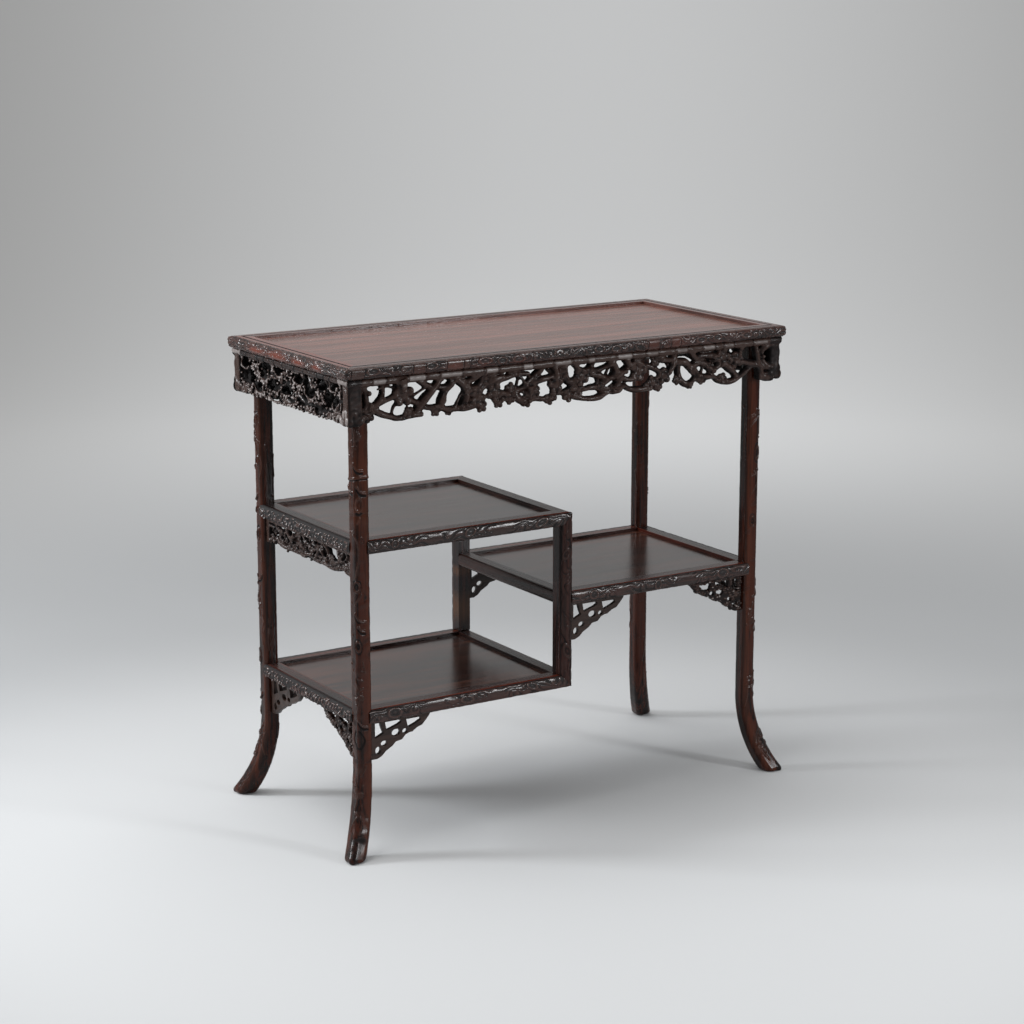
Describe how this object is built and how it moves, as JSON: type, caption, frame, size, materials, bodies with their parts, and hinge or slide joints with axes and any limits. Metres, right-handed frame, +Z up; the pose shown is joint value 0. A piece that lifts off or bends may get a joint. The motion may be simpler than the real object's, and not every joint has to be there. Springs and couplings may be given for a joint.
{
  "type": "three-tier shelf",
  "caption": "Carved hardwood display shelf with a framed top, staggered shelves between legs and posts, openwork aprons and brackets, and feet that curve outwards.",
  "frame": {"origin": "on the floor under the middle of the top", "axes": "+X along the width towards the single right-hand shelf, +Y to the back, +Z up"},
  "size_m": [0.9052, 0.4452, 0.82],
  "materials": {
    "rail_wood": "waxed gloss",
    "leg_wood": "waxed gloss",
    "panel_wood": "polished",
    "openwork_wood": "waxed gloss",
    "batten_wood": "plain"
  },
  "bodies": {
    "root": {"apron_back": "openwork_wood", "apron_front": "openwork_wood", "apron_left": "openwork_wood", "apron_right": "openwork_wood", "leg_back_left": "leg_wood", "leg_back_right": "leg_wood", "leg_front_left": "leg_wood", "leg_front_right": "leg_wood", "lower_batten": "batten_wood", "lower_bracket_back": "openwork_wood", "lower_bracket_front": "openwork_wood", "lower_bracket_left_back": "openwork_wood", "lower_bracket_left_front": "openwork_wood", "lower_panel": "panel_wood", "lower_rail_back": "rail_wood", "lower_rail_front": "rail_wood", "lower_rail_left": "rail_wood", "lower_rail_right": "rail_wood", "post_back": "rail_wood", "post_front": "rail_wood", "right_batten": "batten_wood", "right_bracket_leg_back": "openwork_wood", "right_bracket_leg_front": "openwork_wood", "right_bracket_post_back": "openwork_wood", "right_bracket_post_front": "openwork_wood", "right_bracket_side_back": "openwork_wood", "right_bracket_side_front": "openwork_wood", "right_panel": "panel_wood", "right_rail_back": "rail_wood", "right_rail_front": "rail_wood", "right_rail_middle": "rail_wood", "right_rail_side": "rail_wood", "top_batten_left": "batten_wood", "top_batten_right": "batten_wood", "top_end_left": "rail_wood", "top_end_right": "rail_wood", "top_panel": "panel_wood", "top_rail_back": "rail_wood", "top_rail_front": "rail_wood", "upper_apron_left": "openwork_wood", "upper_batten": "batten_wood", "upper_panel": "panel_wood", "upper_rail_back": "rail_wood", "upper_rail_front": "rail_wood", "upper_rail_left": "rail_wood", "upper_rail_right": "rail_wood"}
  },
  "joints": []
}
